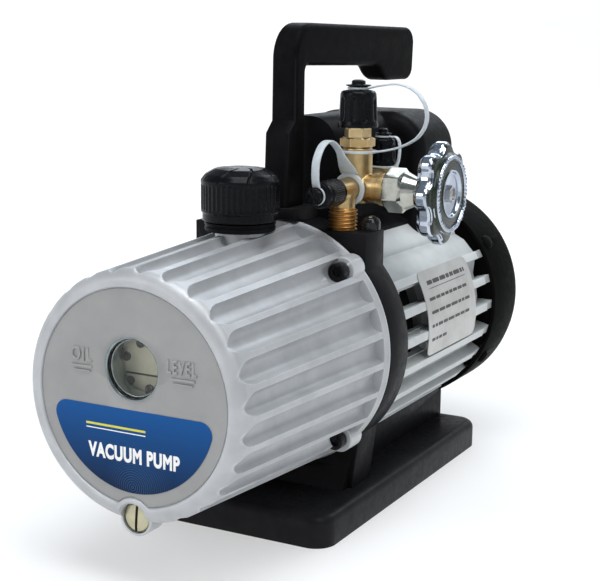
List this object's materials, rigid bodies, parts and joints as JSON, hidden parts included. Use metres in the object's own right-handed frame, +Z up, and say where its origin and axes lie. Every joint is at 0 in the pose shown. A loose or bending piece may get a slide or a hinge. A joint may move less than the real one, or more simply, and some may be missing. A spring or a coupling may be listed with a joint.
{
  "type": "rotary vane vacuum pump",
  "caption": "Oil-sealed rotary vane vacuum pump with a finned oil tank, ribbed motor, brass intake manifold with a handwheel valve, and a carrying handle on a flat base.",
  "frame": {"origin": "under the middle of the base, on the surface that the pump stands on", "axes": "+Z up, +Y from the oil tank's face towards the fan cover, along the shaft; +X to the right seen from the tank"},
  "size_m": [0.1647, 0.357, 0.2752],
  "materials": {
    "black_moulding": "satin moulded",
    "black_casting": "satin black paint",
    "silver_casting": "satin silver paint on a die casting",
    "motor_casting": "satin light silver paint",
    "tank_bolt": "black oxide",
    "decal": "printed film",
    "rating_foil": "printed foil",
    "clear_glass": "clear",
    "chrome_trim": "polished",
    "zinc_plug": "yellow zinc plated",
    "brass_fitting": "turned and lightly oxidised",
    "seal_rubber": "matte",
    "strap": "translucent moulded band",
    "cap_plastic": "moulded",
    "steel_parts": "ground",
    "pump_iron": "oiled",
    "copper_wire": "enamelled copper",
    "dark_bolt": "oiled",
    "handle_grip": "fine textured",
    "rocker": "gloss",
    "capacitor_can": "gloss"
  },
  "bodies": {
    "pump_body": {"base_plate": "black_moulding", "base_screws": "steel_parts", "motor_pedestal": "black_moulding", "oil_tank": "silver_casting", "tank_gasket": "seal_rubber", "tank_bolts": "tank_bolt", "front_decal": "decal", "sight_glass": "clear_glass", "sight_glass_ring": "chrome_trim", "sight_glass_seal": "seal_rubber", "oil_fill_neck": "black_moulding", "oil_cap_seal": "seal_rubber", "mid_flange": "black_casting", "intake_screen": "steel_parts", "first_stage_cylinder": "pump_iron", "intermediate_plate": "pump_iron", "second_stage_cylinder": "pump_iron", "pump_end_plate": "pump_iron", "pump_bolts": "dark_bolt", "oil_splash_cover": "pump_iron", "exhaust_valve": "steel_parts", "shaft_seal": "seal_rubber", "front_bearing": "steel_parts", "rear_bearing": "steel_parts", "stator_core": "steel_parts", "stator_windings": "copper_wire", "rear_end_plate": "motor_casting", "motor_housing": "motor_casting", "rear_cover": "black_moulding", "cover_lugs": "motor_casting", "cover_screws": "dark_bolt", "rating_label": "rating_foil", "capacitor_box": "black_moulding", "run_capacitor": "capacitor_can", "switch_frame": "black_moulding", "power_inlet": "black_moulding", "carry_handle": "handle_grip", "intake_manifold": "brass_fitting", "top_port_adapter": "brass_fitting", "cap_straps": "strap", "valve_bonnet": "chrome_trim", "valve_packing": "seal_rubber"},
    "rotor": {"motor_shaft": "steel_parts", "rotor_core": "steel_parts", "cooling_fan": "black_moulding", "first_stage_rotor": "steel_parts", "second_stage_rotor": "steel_parts", "first_stage_vanes": "capacitor_can", "second_stage_vanes": "capacitor_can", "vane_springs": "steel_parts"},
    "oil_cap": {"oil_fill_cap": "cap_plastic"},
    "drain": {"drain_plug": "zinc_plug", "drain_washer": "seal_rubber"},
    "top_cap": {"top_cap": "cap_plastic"},
    "front_cap": {"front_cap": "cap_plastic"},
    "rear_cap": {"rear_cap": "cap_plastic"},
    "valve_wheel": {"valve_stem": "steel_parts", "handwheel": "chrome_trim"},
    "valve_disc": {"valve_disc": "brass_fitting"},
    "rocker": {"power_rocker": "rocker"}
  },
  "joints": [
    {"name": "shaft_spin", "type": "hinge", "parent": "pump_body", "child": "rotor", "pos_m": [0, 0, 0.0972], "axis": [0, 1, 0], "continuous": true},
    {"name": "oil_cap_turn", "type": "hinge", "parent": "pump_body", "child": "oil_cap", "pos_m": [0, -0.1004, 0.185], "axis": [0, 0, 1], "continuous": true},
    {"name": "drain_plug_turn", "type": "hinge", "parent": "pump_body", "child": "drain", "pos_m": [0, -0.195, 0.0364], "axis": [0, 1, 0], "continuous": true},
    {"name": "top_cap_turn", "type": "hinge", "parent": "pump_body", "child": "top_cap", "pos_m": [0.0346, -0.0304, 0.228], "axis": [0, 0, 1], "continuous": true},
    {"name": "front_cap_turn", "type": "hinge", "parent": "pump_body", "child": "front_cap", "pos_m": [0.0346, -0.068, 0.1843], "axis": [0, -1, 0], "continuous": true},
    {"name": "rear_cap_turn", "type": "hinge", "parent": "pump_body", "child": "rear_cap", "pos_m": [0.0346, 0.0036, 0.2], "axis": [0, 0, 1], "continuous": true},
    {"name": "handwheel_turn", "type": "hinge", "parent": "pump_body", "child": "valve_wheel", "pos_m": [0.08, -0.0304, 0.1843], "axis": [1, 0, 0], "range_deg": [0, 570]},
    {"name": "valve_disc_slide", "type": "slide", "parent": "pump_body", "child": "valve_disc", "axis": [1, 0, 0], "range_m": [0, 0.002]},
    {"name": "power_rocker_tip", "type": "hinge", "parent": "pump_body", "child": "rocker", "pos_m": [-0.019, 0.097, 0.191], "axis": [0, 0, 1], "range_deg": [-11, 0]}
  ],
  "couplings": [
    {"joint": "valve_disc_slide", "follows": "handwheel_turn", "m_per_rad": 0.00019894}
  ]
}
